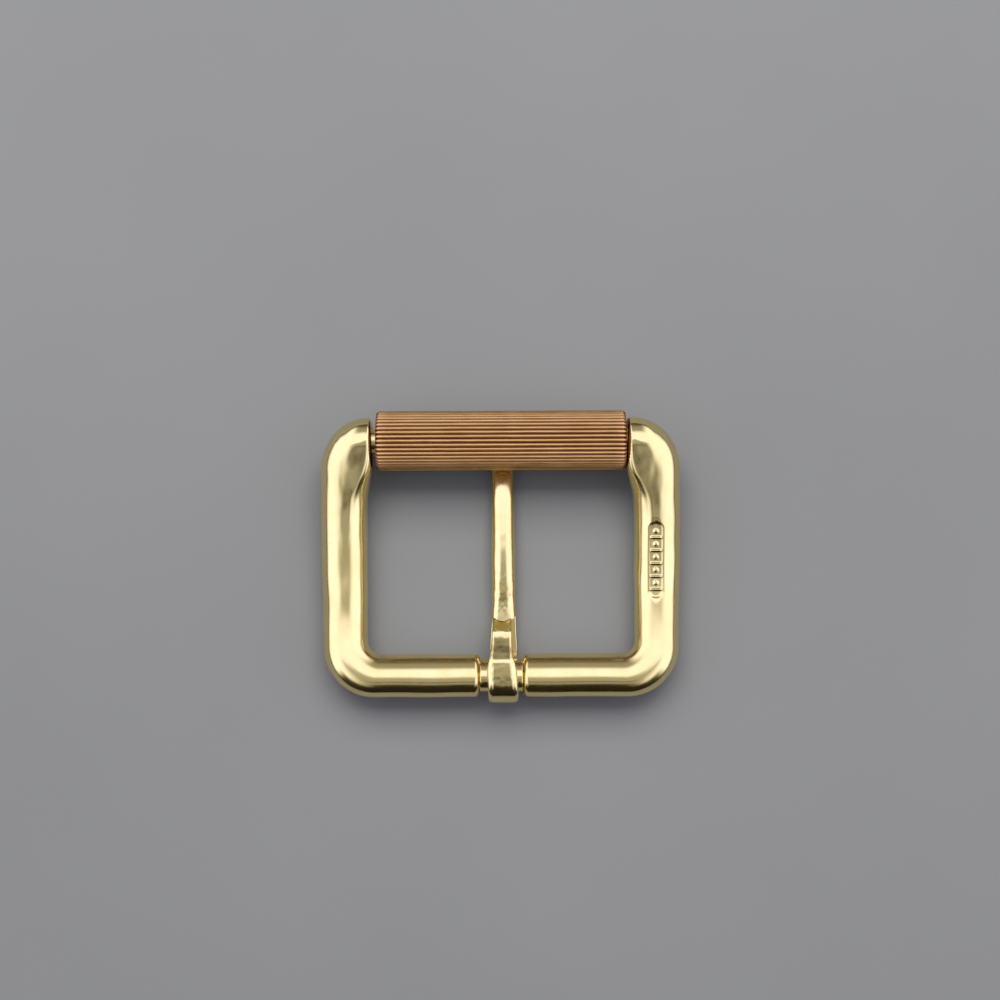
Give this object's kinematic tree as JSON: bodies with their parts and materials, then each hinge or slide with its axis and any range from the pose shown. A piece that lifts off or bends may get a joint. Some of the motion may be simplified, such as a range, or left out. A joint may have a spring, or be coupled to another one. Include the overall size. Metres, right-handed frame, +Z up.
{
  "type": "roller buckle",
  "caption": "Brass roller belt buckle for a 40 mm strap: bowed frame with round ears, ribbed roller on a riveted pin, and a prong closed round the heel bar.",
  "frame": {"origin": "middle of the buckle's outline, on the surface that it lies on, face down", "axes": "+X across the strap to the marked arm, +Y from the heel bar to the roller, +Z up, out of the buckle's back"},
  "size_m": [0.055, 0.0444, 0.0109],
  "materials": {
    "polished_brass": "polished",
    "pin_brass": "satin",
    "roller_bronze": "satin",
    "prong_brass": "polished"
  },
  "bodies": {
    "frame": {"frame": "polished_brass", "roller_pin": "pin_brass"},
    "roller": {"roller": "roller_bronze"},
    "prong": {"prong": "prong_brass"}
  },
  "joints": [
    {"name": "roller_spin", "type": "hinge", "parent": "frame", "child": "roller", "pos_m": [0, 0.01775, 0.0064], "axis": [1, 0, 0], "continuous": true},
    {"name": "prong_swing", "type": "hinge", "parent": "frame", "child": "prong", "pos_m": [0, -0.01805, 0.0042], "axis": [-1, 0, 0], "range_deg": [0, 342]}
  ]
}
